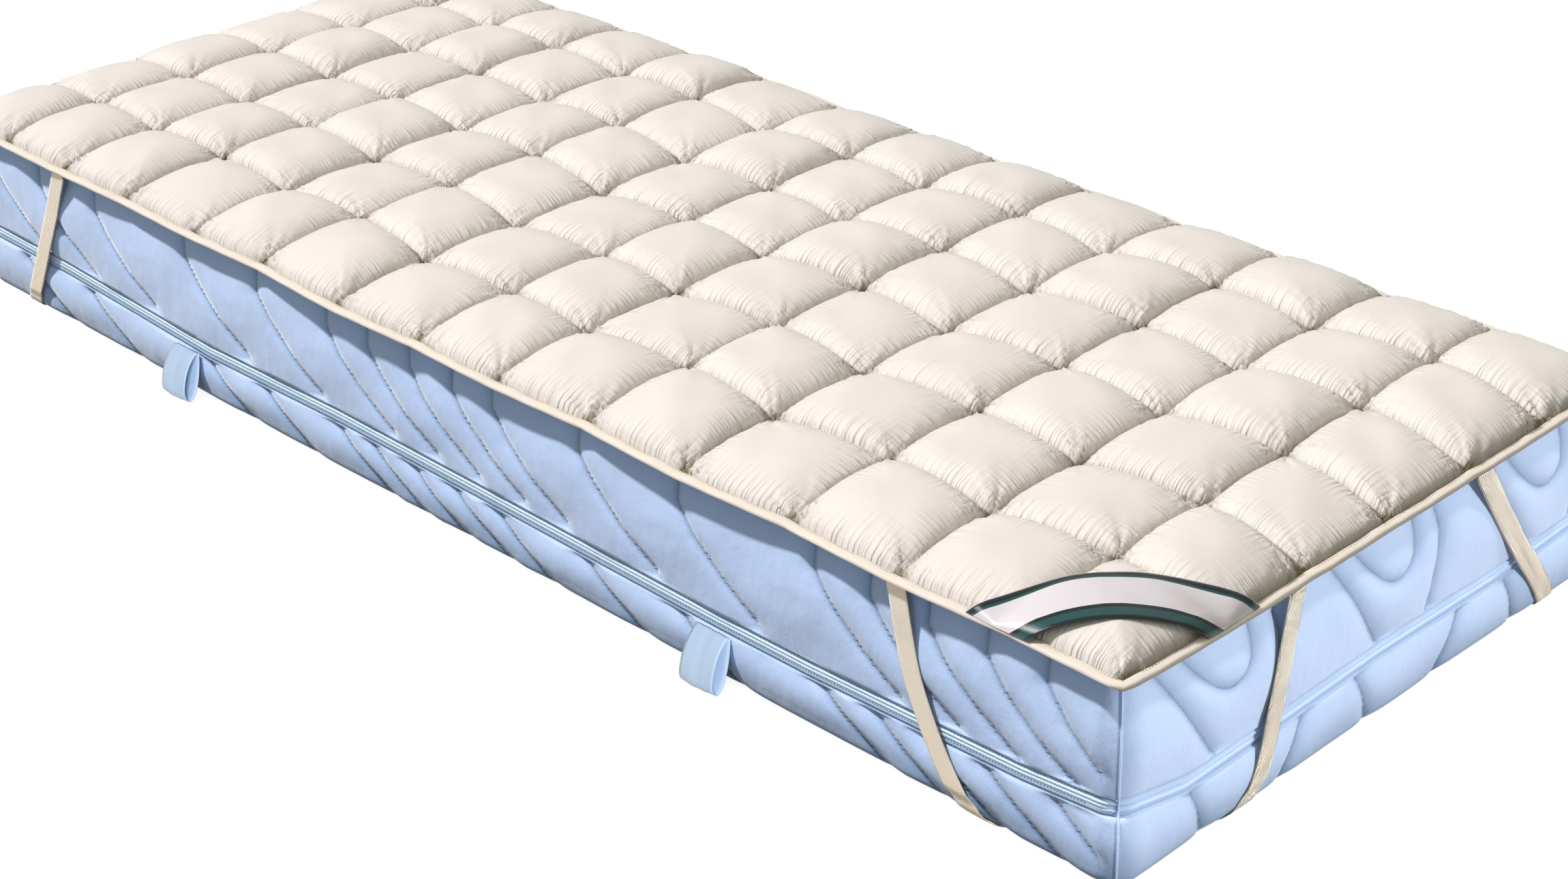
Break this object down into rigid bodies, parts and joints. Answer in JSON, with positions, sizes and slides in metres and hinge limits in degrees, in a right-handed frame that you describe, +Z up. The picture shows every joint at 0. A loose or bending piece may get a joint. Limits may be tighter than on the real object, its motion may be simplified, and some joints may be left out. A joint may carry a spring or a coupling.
{
  "type": "quilted mattress protector on mattress",
  "caption": "Puffy cream cotton mattress pad sewn in square cells, with taped edge and elastic corner bands, laid on a light blue foam mattress with zip band and side handles.",
  "frame": {"origin": "middle of the footprint, on the floor", "axes": "+Y along the bed away from the corner with the satin band, +X across the bed, +Z up"},
  "size_m": [0.857, 2.0272, 0.2739],
  "materials": {
    "pad_cotton": "soft cotton sateen with a low sheen",
    "binding_tape": "woven cotton tape",
    "satin_band": "smooth satin with two dark green stripes",
    "elastic": "ribbed woven elastic",
    "mattress_fabric": "soft quilted knit",
    "zip_band": "woven tape with a cord edge",
    "handle_fabric": "soft knit over webbing"
  },
  "bodies": {
    "root": {"topper": "pad_cotton", "binding": "binding_tape", "label_band": "satin_band", "strap_near_left": "elastic", "strap_near_right": "elastic", "strap_far_left": "elastic", "strap_far_right": "elastic", "mattress": "mattress_fabric", "zip_band": "zip_band", "handle_near_left": "handle_fabric", "handle_near_right": "handle_fabric", "handle_far_left": "handle_fabric", "handle_far_right": "handle_fabric"}
  },
  "joints": []
}
